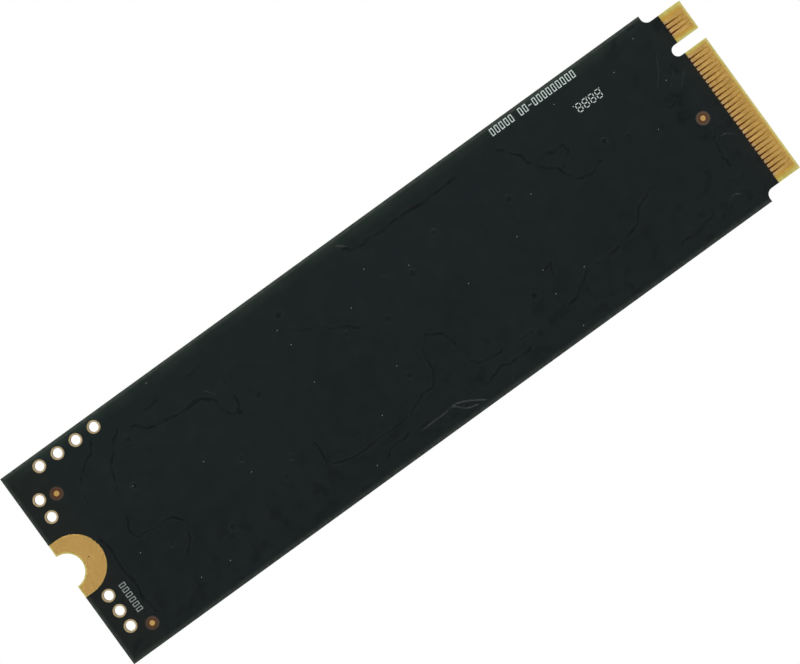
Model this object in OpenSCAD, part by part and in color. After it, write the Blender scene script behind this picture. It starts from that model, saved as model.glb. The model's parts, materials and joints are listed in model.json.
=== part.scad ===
// M.2 solid state drive, 22 mm wide, with an M-key edge connector and components on one face.
// Frame: the origin is the centre of the half-round screw notch, on the bare back face that the
// drive lies on. +X points to the edge connector and +Z to the component face.

/* [Board] */
// Length from the mounting end to the tip of the edge connector
board_l = 80; // [80:30:110]
// Width of the board
board_w = 22; // [22:0.5:25]
// Thickness of the board with its solder mask
board_t = 0.8; // [0.8:0.1:1.2]
// Thickness of the solder mask on each face
mask_t = 0.04; // [0.04:0.005:0.06]
// Thickness of the outer copper with its gold plating
copper_t = 0.03; // [0.02:0.005:0.035]
// Thickness of each prepreg layer, between the outer copper and the core
prepreg_t = 0.16; // [0.14:0.02:0.2]
// Thickness of each inner copper plane
plane_t = 0.035; // [0.03:0.005:0.05]
// Distance that the inner planes keep from the board's edge
plane_inset = 0.5; // [0.3:0.05:0.8]
// Distance from the connector's tip to the end of the inner planes
plane_end = 0.85; // [0.6:0.05:2]

/* [Edge connector] */
// Length of the tongue that enters the socket
tongue_l = 4.1; // [3.9:0.1:4.3]
// Width of the tongue
tongue_w = 19.85; // [19.75:0.05:19.95]
// Radius in the two corners beside the tongue
shoulder_r = 0.7; // [0.4:0.1:0.9]
// First pin position that the key notch takes away
key_first_pin = 59; // [12, 59]
// Width of the key notch
key_w = 1.2; // [1.15:0.05:1.25]
// Depth of the key notch
key_d = 3.5; // [3.3:0.1:3.7]
// Distance between neighbouring contacts on one face
pin_pitch = 0.5; // [0.45:0.05:0.5]
// Width of a contact finger
finger_w = 0.35; // [0.31:0.02:0.37]
// Length of the tongue that is free of solder mask
contact_l = 2.53; // [2.4:0.05:2.8]
// Distance from the fingers' ends to the connector's tip
finger_gap = 0.35; // [0.3:0.05:0.6]
// Length of the bevel at the connector's tip
bevel_l = 0.3; // [0.2:0.05:0.35]
// Depth of the bevel at the connector's tip
bevel_d = 0.1; // [0.05:0.01:0.12]

/* [Mounting end] */
// Radius of the half-round screw notch
notch_r = 1.75; // [1.7:0.05:1.8]
// Outer radius of the gold screw pad
pad_r = 3.05; // [2.75:0.05:3.2]
// Distance from the board's end to the centre of the screw pad's round side
pad_x = 0.95; // [0:0.05:1.2]
// Distance that the screw pad keeps from the notch and the board's end
pad_gap = 0.17; // [0.1:0.01:0.25]
// Radius of a drilled test hole before plating
drill_r = 0.52; // [0.51:0.01:0.56]
// Radius of the opening in a plated test hole
bore_r = 0.49; // [0.4:0.01:0.5]
// Outer radius of the pad round a test hole
hole_pad_r = 0.66; // [0.62:0.01:0.75]
// Radius of a fiducial dot
fiducial_r = 0.27; // [0.2:0.01:0.35]
// Radius of the mask opening round a fiducial dot
fiducial_open_r = 0.72; // [0.6:0.01:0.8]

/* [Screen print] */
// Depth of the screen print in the solder mask
print_t = 0.02; // [0.01:0.005:0.03]
// Width of a printed line
print_w = 0.09; // [0.08:0.01:0.12]

/* [Ball grid packages] */
// Height of a soldered ball
ball_h = 0.23; // [0.18:0.01:0.3]
// Radius of a soldered ball
ball_r = 0.2; // [0.15:0.01:0.22]
// Thickness of a package substrate
substrate_t = 0.17; // [0.12:0.01:0.25]
// Length of a flash memory package along the board
nand_l = 14; // [12:0.5:14]
// Width of a flash memory package across the board
nand_w = 18; // [16:0.5:18]
// Thickness of the moulding of a flash memory package
nand_t = 0.7; // [0.65:0.05:0.9]
// Distance from the mounting end to the middle of the first flash memory package
nand_x = 12.2; // [12.2:0.1:12.6]
// Distance between the middles of the flash memory packages
nand_step = 16; // [15.5:0.1:16.2]
// Distance of the flash memory packages from the board's centre line
nand_y = 0.6; // [0.4:0.1:0.8]
// Dies in the stack of each flash memory package
nand_dies = 8; // [1:1:8]
// Side of the controller package
controller_s = 13; // [12:0.5:13]
// Thickness of the moulding of the controller package
controller_t = 0.75; // [0.65:0.05:0.9]
// Length of the cache memory package along the board
dram_l = 7.5; // [7:0.5:8]
// Width of the cache memory package across the board
dram_w = 13.3; // [12:0.1:13.5]
// Thickness of the moulding of the cache memory package
dram_t = 0.6; // [0.5:0.05:0.9]

/* [Small parts] */
// Thickness of the solder under each terminal
solder_t = 0.03; // [0.02:0.01:0.06]
// Side of the power chip
power_s = 4; // [4:0.5:4.5]
// Height of the power chip
power_h = 0.75; // [0.6:0.05:0.9]
// Length of a power inductor
inductor_l = 2.5; // [2:0.1:2.5]
// Width of a power inductor
inductor_w = 2; // [1.6:0.1:2]
// Height of a power inductor
inductor_h = 1.2; // [0.8:0.1:1.2]
// Length of a bulk capacitor
bulk_l = 3.5; // [3.2:0.1:3.5]
// Width of a bulk capacitor
bulk_w = 2.8; // [1.6:0.1:2.8]
// Height of a bulk capacitor
bulk_h = 1.2; // [0.9:0.1:1.2]
// Height of the load switch
switch_h = 1.05; // [0.9:0.05:1.1]

/* [Hidden] */
$fn = 48;

// A cut runs this far past the face that it opens
past = 1;
half_w = board_w / 2;
shoulder_x = board_l - tongue_l;

// Heights of the board's layers
back_face_z = mask_t;
core_z = back_face_z + prepreg_t;
front_face_z = board_t - mask_t;
core_top_z = front_face_z - prepreg_t;
back_copper_z = mask_t - copper_t;

// Contacts are numbered from 1 across the tongue, odd ones in front and even ones behind
last_pin = 75;
middle_pin = 38;
key_pins = 8;
key_y = pin_y(key_first_pin + (key_pins - 1) / 2);
mask_end_x = board_l - contact_l;
finger_root_gap = 0.02;
finger_x = mask_end_x + finger_root_gap;
finger_l = contact_l - finger_root_gap - finger_gap;

// Clearances of the solder mask and of the inner planes round a pad or a hole
mask_clear = 0.03;
plane_clear = 0.25;

// Distance from one printed mark of a row to the next
mark_step = 0.56;

// Rows of test holes, each as its first hole, the step to the next and the number of holes
TEST_HOLE_ROWS = [
    [[3.8, 1.2 - half_w], [2.15, 0], 4],
    [[1.88, -7.15], [0, 2], 2],
    [[1.88, 4.2], [0, 1.8], 3]
];
TEST_HOLES = [for (row = TEST_HOLE_ROWS) for (i = [0 : row[2] - 1]) row[0] + i * row[1]];
BACK_FIDUCIALS = [[board_l - 4.8, 0.6], [3.6, -6.7], [3.75, 8.8]];
FRONT_FIDUCIALS = [[board_l - 4.6, -1.2], [3.6, -6.7], [3.75, 8.8]];

// Middles of the chips
nand_1 = [nand_x, nand_y];
nand_2 = nand_1 + [nand_step, 0];
controller = [board_l - 25.3, 1];
dram = controller - [12.95, 0];
power_chip = [board_l - 11.2, -4.6];
load_switch = power_chip + [3.8, -3.8];
firmware_flash = controller + [-2.2, -9.4];
crystal = controller + [3, -9.2];

package_z = board_t + ball_h + substrate_t;
seat_z = board_t + solder_t;

// Pins of the leadless chips
power_pins = 6;
flash_pins = 4;
lead_pitch = 0.5;
lead_w = 0.25;
lead_l = 0.4;
lead_t = 0.15;
flash_l = 3;
flash_w = 2;
flash_h = 0.6;
thermal_pad = 2.5;

switch_l = 2.9;
switch_w = 1.6;
switch_gap = 0.08;
switch_lead_w = 0.4;
switch_lead_t = 0.13;
switch_lead_z = 0.46;
switch_lead_step = 0.95;
switch_foot_l = 0.38;
switch_span = 2.8;

crystal_l = 2.5;
crystal_w = 2;
crystal_h = 0.5;
crystal_wall = 0.3;
crystal_floor = 0.12;
crystal_ledge = 0.06;

// Sizes of chip parts: length, width, height and the length of an end cap
CHIP_0402 = [1, 0.5, 0.5, 0.25];
CHIP_0603 = [1.6, 0.8, 0.8, 0.35];
RESISTOR_0402 = [1, 0.5, 0.34, 0.22];
cap_t = 0.02;
coat_t = 0.02;

// Folded terminals of the inductors and bulk capacitors
clip_t = 0.09;
clip_foot = 0.8;

// Rows of chip parts, each as its first place, the number of parts, the step and the turn
nand_gap_x = (nand_1.x + nand_2.x) / 2;
dram_gap_x = (dram.x + dram_l / 2 + controller.x - controller_s / 2) / 2;
DECOUPLING_ROWS = [
    [[nand_gap_x, -7.8], 14, [0, 1.25], 0],
    [[nand_2.x + 8.4, -5.2], 11, [0, 1.2], 0],
    [[12.6, 1.2 - half_w], 14, [1.65, 0], 0],
    [dram + [-3.1, -7.9], 6, [1.15, 0], 90],
    [dram + [-3.1, 7.9], 6, [1.15, 0], 90],
    [controller + [-5.6, 7.5], 5, [1.25, 0], 90],
    [controller + [7.35, -5.4], 6, [0, 1.1], 0],
    [power_chip + [-1.9, -3.1], 4, [1.1, 0], 90],
    [power_chip + [-5.2, 5.8], 6, [1.15, 0], 90],
    [power_chip + [-5.2, 9.6], 5, [1.15, 0], 90],
    [crystal + [-2, 0], 2, [4, 0], 90],
    [[board_l - 6.05, -1.5], 8, [0, 0.62], 0]
];
FILTER_ROWS = [
    [power_chip + [-1.6, 3.1], 3, [1.4, 0], 90],
    [power_chip + [-5.5, 14.4], 3, [2.1, 0], 0],
    [power_chip + [-5.5, 13.1], 3, [2.1, 0], 0],
    [nand_2 + [10.6, half_w - 1.3], 3, [2.1, 0], 0]
];
RESISTOR_ROWS = [
    [[dram_gap_x, -4.7], 12, [0, 0.98], 0],
    [controller + [0.9, 7.5], 5, [1.1, 0], 90],
    [controller + [7.35, 1.6], 5, [0, 0.95], 0],
    [power_chip + [-5.2, 7.7], 6, [1.15, 0], 90],
    [controller + [-6.4, -8.3], 3, [0, -0.95], 0]
];
BEAD_ROWS = [
    [power_chip + [3.6, -0.6], 3, [0, 1.25], 0]
];
DECOUPLING = spread(DECOUPLING_ROWS);
FILTERS = spread(FILTER_ROWS);
RESISTORS = spread(RESISTOR_ROWS);
BEADS = spread(BEAD_ROWS);
INDUCTORS = spread([[power_chip + [-4.6, -4], 3, [0, 2.8], 0]]);
BULK_CAPACITORS = spread([[power_chip + [3.1, 9.6], 2, [0, 3.3], 0]]);

// Places of the parts in some rows, each as its middle and its turn
function spread(rows) = [for (row = rows) for (i = [0 : row[1] - 1]) [row[0] + i * row[2], row[3]]];

// Distance across the board of a contact, by its number
function pin_y(pin) = -(pin - middle_pin) * pin_pitch / 2;

function is_key(pin) = pin >= key_first_pin && pin < key_first_pin + key_pins;

// ---- Board outline and its openings ----

// Outline of the board, drawn in from its edge by inset
module board_outline(inset = 0) {
    difference() {
        translate([inset, inset - half_w]) square([board_l - 2 * inset, board_w - 2 * inset]);
        circle(r = notch_r + inset);
        shoulder_cut(inset);
        mirror([0, 1]) shoulder_cut(inset);
        key_cut(inset);
    }
}

module shoulder_cut(inset) {
    corner = [shoulder_x + shoulder_r, tongue_w / 2 + shoulder_r];
    translate(corner) circle(r = shoulder_r + inset);
    translate([corner.x, tongue_w / 2 - inset]) square([tongue_l + past, half_w]);
    translate([shoulder_x - inset, corner.y]) square([tongue_l + past, half_w]);
}

module key_cut(inset) {
    round_x = board_l - key_d + key_w / 2;
    cut_w = key_w + 2 * inset;
    translate([round_x, key_y]) circle(d = cut_w);
    translate([round_x, key_y - cut_w / 2]) square([key_d + past, cut_w]);
}

// Everything beyond a distance from the mounting end
module beyond(x) {
    translate([x, -board_w]) square([board_l, 2 * board_w]);
}

module at_test_holes() {
    for (hole = TEST_HOLES) translate(hole) children();
}

// One glass-epoxy layer with its drilled holes
module laminate_layer(z, height) {
    translate([0, 0, z]) linear_extrude(height) difference() {
        board_outline();
        at_test_holes() circle(r = drill_r);
    }
}

module inner_plane(z) {
    translate([0, 0, z]) linear_extrude(plane_t) difference() {
        board_outline(plane_inset);
        at_test_holes() circle(r = drill_r + plane_clear);
        beyond(board_l - plane_end);
    }
}

// Wedge that bevels the tip of the tongue from the face at z, where side is 1 below and -1 above
module tip_wedge(z, side) {
    rotate([90, 0, 0]) linear_extrude(board_w, center = true) polygon([
        [board_l - 2 * bevel_l, z - side * bevel_d],
        [board_l + bevel_l, z + 2 * side * bevel_d],
        [board_l + bevel_l, z - side * bevel_d]
    ]);
}

module screw_pad_outline(grow) {
    translate([pad_x, 0]) circle(r = pad_r + grow);
    translate([-past, -pad_r - grow]) square([pad_x + past, 2 * (pad_r + grow)]);
}

module screw_pad(z) {
    translate([0, 0, z]) linear_extrude(copper_t) difference() {
        screw_pad_outline(0);
        circle(r = notch_r + pad_gap);
        translate([pad_gap - board_l, -board_w]) square([board_l, 2 * board_w]);
    }
}

module fiducial_dots(places, z) {
    for (place = places) translate([place.x, place.y, z]) cylinder(r = fiducial_r, h = copper_t);
}

module mask_sheet(z, fiducials) {
    translate([0, 0, z]) linear_extrude(mask_t) difference() {
        board_outline();
        screw_pad_outline(mask_clear);
        at_test_holes() circle(r = hole_pad_r + mask_clear);
        for (place = fiducials) translate(place) circle(r = fiducial_open_r);
        beyond(mask_end_x);
    }
}

// Finger of plated copper with a round inner end
module contact_finger() {
    round_r = finger_w / 2;
    linear_extrude(copper_t) {
        translate([round_r, 0]) circle(r = round_r);
        translate([round_r, -round_r]) square([finger_l - round_r, finger_w]);
    }
}

module contact_fingers(first, z) {
    for (pin = [first : 2 : last_pin])
        if (!is_key(pin)) translate([finger_x, pin_y(pin), z]) contact_finger();
}

// ---- Screen print ----

module print_box(l, w) {
    difference() {
        square([l, w]);
        translate([print_w, print_w]) square([l - 2 * print_w, w - 2 * print_w]);
    }
}

// A row of blank marking boxes, with a dash in place of one and a gap in place of another
module blank_row(count, l, w, dash, gap) {
    for (i = [0 : count - 1]) translate([i * mark_step, 0])
        if (i == dash) translate([0, (w - print_w) / 2]) square([l, print_w]);
        else if (i != gap) print_box(l, w);
}

// Blank figure of a date field: every bar of it is printed, and the bars don't touch
module blank_figure(l, w) {
    corner = 0.13;
    side_l = (w - 3 * corner) / 2;
    for (y = [0, (w - print_w) / 2, w - print_w]) translate([corner, y])
        square([l - 2 * corner, print_w]);
    for (x = [0, l - print_w], y = [corner, 2 * corner + side_l]) translate([x, y])
        square([print_w, side_l]);
}

// Blank date field, with a dot beside every second figure
module date_field(figures, l, w) {
    figure_step = 0.76;
    dot_gap = 0.1;
    for (i = [0 : figures - 1]) translate([i * figure_step, 0]) blank_figure(l, w);
    for (i = [0 : 2 : figures]) translate([i * figure_step - dot_gap - print_w, 0]) square(print_w);
}

module corner_brackets(middle, l, w) {
    arm = 1.1;
    for (x = [-1, 1], y = [-1, 1]) translate(middle) mirror([x > 0 ? 1 : 0, 0])
        mirror([0, y > 0 ? 1 : 0]) translate([-l / 2, -w / 2]) {
            square([arm, print_w]);
            square([print_w, arm]);
        }
}

module pin_one_dot(middle, l, w) {
    translate(middle + [-l / 2 - 0.55, w / 2 - 0.8]) circle(r = 0.2);
}

module back_print() {
    translate([board_l - 22.2, 0.37 - half_w]) blank_row(18, 0.38, 0.78, 8, 5);
    translate([board_l - 14.12, 3.3 - half_w]) date_field(4, 0.58, 0.95);
    translate([3.22, 3.97]) for (i = [0 : 5]) translate([0, i * mark_step]) print_box(0.68, 0.38);
}

module front_print() {
    corner_brackets(nand_1, nand_l + 0.6, nand_w + 0.6);
    corner_brackets(nand_2, nand_l + 0.6, nand_w + 0.6);
    corner_brackets(controller, controller_s + 0.6, controller_s + 0.6);
    corner_brackets(dram, dram_l + 0.6, dram_w + 0.6);
    corner_brackets(power_chip, power_s + 0.5, power_s + 0.5);
    pin_one_dot(nand_1, nand_l, nand_w);
    pin_one_dot(nand_2, nand_l, nand_w);
    pin_one_dot(controller, controller_s, controller_s);
    pin_one_dot(dram, dram_l, dram_w);
    translate([6.2, half_w - 0.9]) blank_row(10, 0.38, 0.6, 6, 3);
    for (part = BULK_CAPACITORS) translate(part[0] + [-bulk_l / 2 - 0.4, -bulk_w / 2])
        square([print_w, bulk_w]);
}

module print_layer(z) {
    translate([0, 0, z]) linear_extrude(print_t) children();
}

// ---- Board ----

module board_core() {
    color("#c8ba71") laminate_layer(core_z, core_top_z - core_z);
}

module back_prepreg() {
    color("#c2b36a") difference() {
        laminate_layer(back_face_z, prepreg_t);
        inner_plane(core_z - plane_t);
        tip_wedge(back_face_z, 1);
    }
}

module front_prepreg() {
    color("#c2b36a") difference() {
        laminate_layer(core_top_z, prepreg_t);
        inner_plane(core_top_z);
        tip_wedge(front_face_z, -1);
    }
}

module inner_ground_plane() {
    color("#8a4a2a") inner_plane(core_z - plane_t);
}

module inner_power_plane() {
    color("#8a4a2a") inner_plane(core_top_z);
}

module back_solder_mask() {
    color("#1e2324") difference() {
        mask_sheet(0, BACK_FIDUCIALS);
        print_layer(0) back_print();
    }
}

module front_solder_mask() {
    color("#1e2324") difference() {
        mask_sheet(front_face_z, FRONT_FIDUCIALS);
        print_layer(board_t - print_t) front_print();
    }
}

module back_contact_fingers() {
    color("#b4904f") contact_fingers(2, back_copper_z);
}

module front_contact_fingers() {
    color("#b4904f") contact_fingers(1, front_face_z);
}

module back_screw_pad() {
    color("#b49051") screw_pad(back_copper_z);
}

module front_screw_pad() {
    color("#b49051") screw_pad(front_face_z);
}

// Barrels of plating with a flange on each face
module plated_test_holes() {
    front_z = front_face_z + copper_t;
    color("#c49a5c") at_test_holes() rotate_extrude() polygon([
        [bore_r, back_copper_z], [hole_pad_r, back_copper_z],
        [hole_pad_r, back_face_z], [drill_r, back_face_z],
        [drill_r, front_face_z], [hole_pad_r, front_face_z],
        [hole_pad_r, front_z], [bore_r, front_z]
    ]);
}

module back_fiducials() {
    color("#b08c5c") fiducial_dots(BACK_FIDUCIALS, back_copper_z);
}

module front_fiducials() {
    color("#b08c5c") fiducial_dots(FRONT_FIDUCIALS, front_face_z);
}

module back_silkscreen() {
    color("#d9dcd8") print_layer(0) back_print();
}

module front_silkscreen() {
    color("#d9dcd8") print_layer(board_t - print_t) front_print();
}

// ---- Ball grid packages ----

module centred_block(size) {
    translate([-size.x / 2, -size.y / 2, 0]) cube(size);
}

module at_package(middle, z) {
    translate([middle.x, middle.y, z]) children();
}

// Moulded body with a pin one dimple, hollow where its dies sit
module package_mould(middle, l, w, t) {
    dimple_r = 0.4;
    dimple_d = 0.04;
    at_package(middle, package_z) difference() {
        centred_block([l, w, t]);
        translate([1.1 - l / 2, w / 2 - 1.1, t - dimple_d]) cylinder(r = dimple_r, h = dimple_d + past);
        children();
    }
}

module package_substrate(middle, l, w) {
    at_package(middle, board_t + ball_h) centred_block([l, w, substrate_t]);
}

// A grid of balls, of which shown tells the ones that are there
module ball_grid(middle, columns, rows, pitch, shown) {
    for (i = [0 : columns - 1], j = [0 : rows - 1]) if (shown(i, j))
        translate([
            middle.x + (i - (columns - 1) / 2) * pitch, middle.y + (j - (rows - 1) / 2) * pitch, board_t
        ]) cylinder(r = ball_r, h = ball_h);
}

// Stepped stack of thin dies, bonded one on the other
module nand_stack() {
    die_t = 0.06;
    die_step = 0.12;
    for (i = [0 : nand_dies - 1])
        translate([(i - (nand_dies - 1) / 2) * die_step, 0, i * die_t])
            centred_block([nand_l - 3.2, nand_w - 2.4, die_t]);
}

module nand_package_1() {
    color("#232325") package_mould(nand_1, nand_l, nand_w, nand_t) nand_stack();
}

module nand_package_2() {
    color("#232325") package_mould(nand_2, nand_l, nand_w, nand_t) nand_stack();
}

module nand_dies_1() {
    color("#6c7078") at_package(nand_1, package_z) nand_stack();
}

module nand_dies_2() {
    color("#6c7078") at_package(nand_2, package_z) nand_stack();
}

module nand_substrate_1() {
    color("#1f4a34") package_substrate(nand_1, nand_l, nand_w);
}

module nand_substrate_2() {
    color("#1f4a34") package_substrate(nand_2, nand_l, nand_w);
}

module nand_ball_grid(middle) {
    ball_grid(middle, 11, 12, 1, function (i, j) true);
}

module nand_balls_1() {
    color("#b9bcbe") nand_ball_grid(nand_1);
}

module nand_balls_2() {
    color("#b9bcbe") nand_ball_grid(nand_2);
}

module controller_chip() {
    centred_block([6.4, 5.6, 0.4]);
}

module controller_package() {
    color("#28282a") package_mould(controller, controller_s, controller_s, controller_t) controller_chip();
}

module controller_die() {
    color("#6c7078") at_package(controller, package_z) controller_chip();
}

module controller_substrate() {
    color("#1f4a34") package_substrate(controller, controller_s, controller_s);
}

// Two rings of balls at the rim and a block in the middle
module controller_balls() {
    rows = 15;
    middle_row = 7;
    color("#b9bcbe") ball_grid(controller, rows, rows, 0.8, function (i, j)
        min(i, j, rows - 1 - i, rows - 1 - j) < 2 || max(abs(i - middle_row), abs(j - middle_row)) <= 2);
}

module dram_chip() {
    centred_block([5.4, 9.6, 0.2]);
}

module dram_package() {
    color("#242426") package_mould(dram, dram_l, dram_w, dram_t) dram_chip();
}

module dram_die() {
    color("#6c7078") at_package(dram, package_z) dram_chip();
}

module dram_substrate() {
    color("#1f4a34") package_substrate(dram, dram_l, dram_w);
}

// Two groups of three columns with a free strip between them
module dram_balls() {
    color("#b9bcbe") ball_grid(dram, 9, 13, 0.8, function (i, j) abs(i - 4) > 1);
}

// ---- Leadless chips ----

// Leads along the two ends of a leadless chip
module end_leads(l, pins, t) {
    for (side = [-1, 1], i = [0 : pins - 1])
        translate([side * (l - lead_l) / 2, (i - (pins - 1) / 2) * lead_pitch, 0])
            centred_block([lead_l, lead_w, t]);
}

module power_chip_terminals(t) {
    end_leads(power_s, power_pins, t);
    rotate(90) end_leads(power_s, power_pins, t);
    centred_block([thermal_pad, thermal_pad, t]);
}

module power_chip_package() {
    color("#2a2a2c") at_package(power_chip, seat_z) difference() {
        centred_block([power_s, power_s, power_h]);
        power_chip_terminals(lead_t);
        translate([0.5 - power_s / 2, power_s / 2 - 0.5, power_h - 0.03]) cylinder(r = 0.2, h = past);
    }
}

module power_chip_pads() {
    color("#b4b6b8") at_package(power_chip, seat_z) power_chip_terminals(lead_t);
}

module firmware_flash_package() {
    color("#2a2a2c") at_package(firmware_flash, seat_z) difference() {
        centred_block([flash_l, flash_w, flash_h]);
        end_leads(flash_l, flash_pins, lead_t);
        translate([0.4 - flash_l / 2, flash_w / 2 - 0.4, flash_h - 0.03]) cylinder(r = 0.15, h = past);
    }
}

module firmware_flash_leads() {
    color("#b4b6b8") at_package(firmware_flash, seat_z) end_leads(flash_l, flash_pins, lead_t);
}

// ---- Load switch with bent leads ----

// Body with drafted sides above and below the line where the mould parts
module load_switch_package() {
    draft = 0.08;
    top = switch_h;
    band = [switch_lead_z - 0.04, switch_lead_z + switch_lead_t + 0.04];
    side = switch_w / 2;
    color("#2a2a2c") at_package(load_switch, seat_z) difference() {
        rotate([90, 0, 90]) linear_extrude(switch_l, center = true) polygon([
            [-side, band[0]], [draft - side, switch_gap], [side - draft, switch_gap], [side, band[0]],
            [side, band[1]], [side - draft, top], [draft - side, top], [-side, band[1]]
        ]);
        translate([0.4 - switch_l / 2, 0.35 - side, top - 0.03]) cylinder(r = 0.13, h = past);
    }
}

module bent_lead() {
    body_side = switch_w / 2;
    foot_y = switch_span / 2;
    knee_y = foot_y - switch_foot_l;
    top_z = switch_lead_z + switch_lead_t;
    rotate([90, 0, 90]) linear_extrude(switch_lead_w, center = true) polygon([
        [body_side, switch_lead_z], [knee_y - switch_lead_t, switch_lead_z],
        [knee_y, 0], [foot_y, 0], [foot_y, switch_lead_t],
        [knee_y + 0.09, switch_lead_t], [knee_y - 0.02, top_z], [body_side, top_z]
    ]);
}

module at_switch_leads() {
    for (side = [0, 180], i = [-1 : 1]) rotate(side) translate([i * switch_lead_step, 0, 0]) children();
}

module load_switch_leads() {
    color("#b4b6b8") at_package(load_switch, seat_z) at_switch_leads() bent_lead();
}

// ---- Inductors and bulk capacitors ----

module at_each(parts, z) {
    for (part = parts) translate([part[0].x, part[0].y, z]) rotate(part[1]) children();
}

// Moulded body that stands on its folded terminals
module clipped_body(l, w, h) {
    translate([0, 0, clip_t]) centred_block([l - 2 * clip_t, w, h - clip_t]);
}

// Terminals that come down both ends and fold in under the body
module folded_terminals(l, w, rise) {
    for (side = [0, 180]) rotate(side) {
        translate([l / 2 - clip_t, -w / 2, clip_t]) cube([clip_t, w, rise - clip_t]);
        translate([l / 2 - clip_foot, -w / 2, 0]) cube([clip_foot, w, clip_t]);
    }
}

module inductor_cores() {
    color("#4a4b4d") at_each(INDUCTORS, seat_z) clipped_body(inductor_l, inductor_w, inductor_h);
}

module inductor_terminals() {
    color("#b9bbbd") at_each(INDUCTORS, seat_z) folded_terminals(inductor_l, inductor_w - 0.5, 0.5);
}

module bulk_capacitor_bodies() {
    color("#2b2b2d") at_each(BULK_CAPACITORS, seat_z) clipped_body(bulk_l, bulk_w, bulk_h);
}

module bulk_capacitor_terminals() {
    color("#b9bbbd") at_each(BULK_CAPACITORS, seat_z) folded_terminals(bulk_l, bulk_w - 0.6, 0.7);
}

// ---- Crystal ----

module crystal_base() {
    cavity = [crystal_l - 2 * crystal_wall, crystal_w - 2 * crystal_wall, crystal_h];
    color("#8b8378") at_package(crystal, seat_z) {
        difference() {
            centred_block([crystal_l, crystal_w, crystal_h]);
            translate([0, 0, crystal_floor]) centred_block(cavity);
        }
        for (side = [-1, 1]) translate([0.2 - cavity.x / 2, side * (cavity.y / 2 - 0.2), crystal_floor])
            centred_block([0.4, 0.4, crystal_ledge]);
    }
}

module crystal_lid() {
    color("#a9abad") at_package(crystal, seat_z + crystal_h)
        centred_block([crystal_l - 0.2, crystal_w - 0.2, 0.09]);
}

module crystal_blank() {
    color("#dfe5ea") at_package(crystal, seat_z + crystal_floor + crystal_ledge)
        translate([-0.08, 0, 0]) centred_block([1.6, 1.1, 0.05]);
}

// ---- Chip parts ----

// Inner block of a chip part, inside end caps that stand proud of it by cap_t and, beside it, by side_t
module chip_body(size, side_t) {
    translate([0, 0, cap_t])
        centred_block([size[0] - 2 * cap_t, size[1] - 2 * side_t, size[2] - 2 * cap_t]);
}

module chip_ends(size, side_t) {
    for (side = [-1, 1]) difference() {
        translate([side * (size[0] - size[3]) / 2, 0, 0]) centred_block([size[3], size[1], size[2]]);
        chip_body(size, side_t);
    }
}

module decoupling_capacitor_bodies() {
    color("#9a7b5c") at_each(DECOUPLING, seat_z) chip_body(CHIP_0402, cap_t);
}

module decoupling_capacitor_ends() {
    color("#bfc1c2") at_each(DECOUPLING, seat_z) chip_ends(CHIP_0402, cap_t);
}

module filter_capacitor_bodies() {
    color("#a58766") at_each(FILTERS, seat_z) chip_body(CHIP_0603, cap_t);
}

module filter_capacitor_ends() {
    color("#bfc1c2") at_each(FILTERS, seat_z) chip_ends(CHIP_0603, cap_t);
}

module resistor_bodies() {
    color("#e8e6df") at_each(RESISTORS, seat_z) chip_body(RESISTOR_0402, 0);
}

module resistor_coats() {
    coat_l = RESISTOR_0402[0] - 2 * RESISTOR_0402[3];
    color("#17181a") at_each(RESISTORS, seat_z + RESISTOR_0402[2] - cap_t)
        centred_block([coat_l, RESISTOR_0402[1] - 0.04, coat_t]);
}

module resistor_ends() {
    color("#bfc1c2") at_each(RESISTORS, seat_z) chip_ends(RESISTOR_0402, 0);
}

module ferrite_bead_bodies() {
    color("#3c3d40") at_each(BEADS, seat_z) chip_body(CHIP_0603, cap_t);
}

module ferrite_bead_ends() {
    color("#bfc1c2") at_each(BEADS, seat_z) chip_ends(CHIP_0603, cap_t);
}

// ---- Solder ----

// Pair of pads that reach a little past the ends and sides of a part
module pad_pair(l, w, foot) {
    for (side = [-1, 1]) translate([side * ((l - foot) / 2 + 0.06), 0, 0])
        centred_block([foot + 0.12, w + 0.08, solder_t]);
}

module crystal_pads() {
    for (x = [-1, 1], y = [-1, 1]) translate([x * (crystal_l / 2 - 0.4), y * (crystal_w / 2 - 0.35), 0])
        centred_block([0.8, 0.7, solder_t]);
}

module solder_joints() {
    color("#c4c6c7") {
        at_each(DECOUPLING, board_t) pad_pair(CHIP_0402[0], CHIP_0402[1], CHIP_0402[3]);
        at_each(FILTERS, board_t) pad_pair(CHIP_0603[0], CHIP_0603[1], CHIP_0603[3]);
        at_each(BEADS, board_t) pad_pair(CHIP_0603[0], CHIP_0603[1], CHIP_0603[3]);
        at_each(RESISTORS, board_t) pad_pair(RESISTOR_0402[0], RESISTOR_0402[1], RESISTOR_0402[3]);
        at_each(INDUCTORS, board_t) pad_pair(inductor_l, inductor_w - 0.5, clip_foot);
        at_each(BULK_CAPACITORS, board_t) pad_pair(bulk_l, bulk_w - 0.6, clip_foot);
        at_package(power_chip, board_t) power_chip_terminals(solder_t);
        at_package(firmware_flash, board_t) end_leads(flash_l, flash_pins, solder_t);
        at_package(crystal, board_t) crystal_pads();
        at_package(load_switch, board_t) at_switch_leads()
            translate([0, (switch_span - switch_foot_l) / 2, 0])
                centred_block([switch_lead_w + 0.1, switch_foot_l + 0.1, solder_t]);
    }
}

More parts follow.
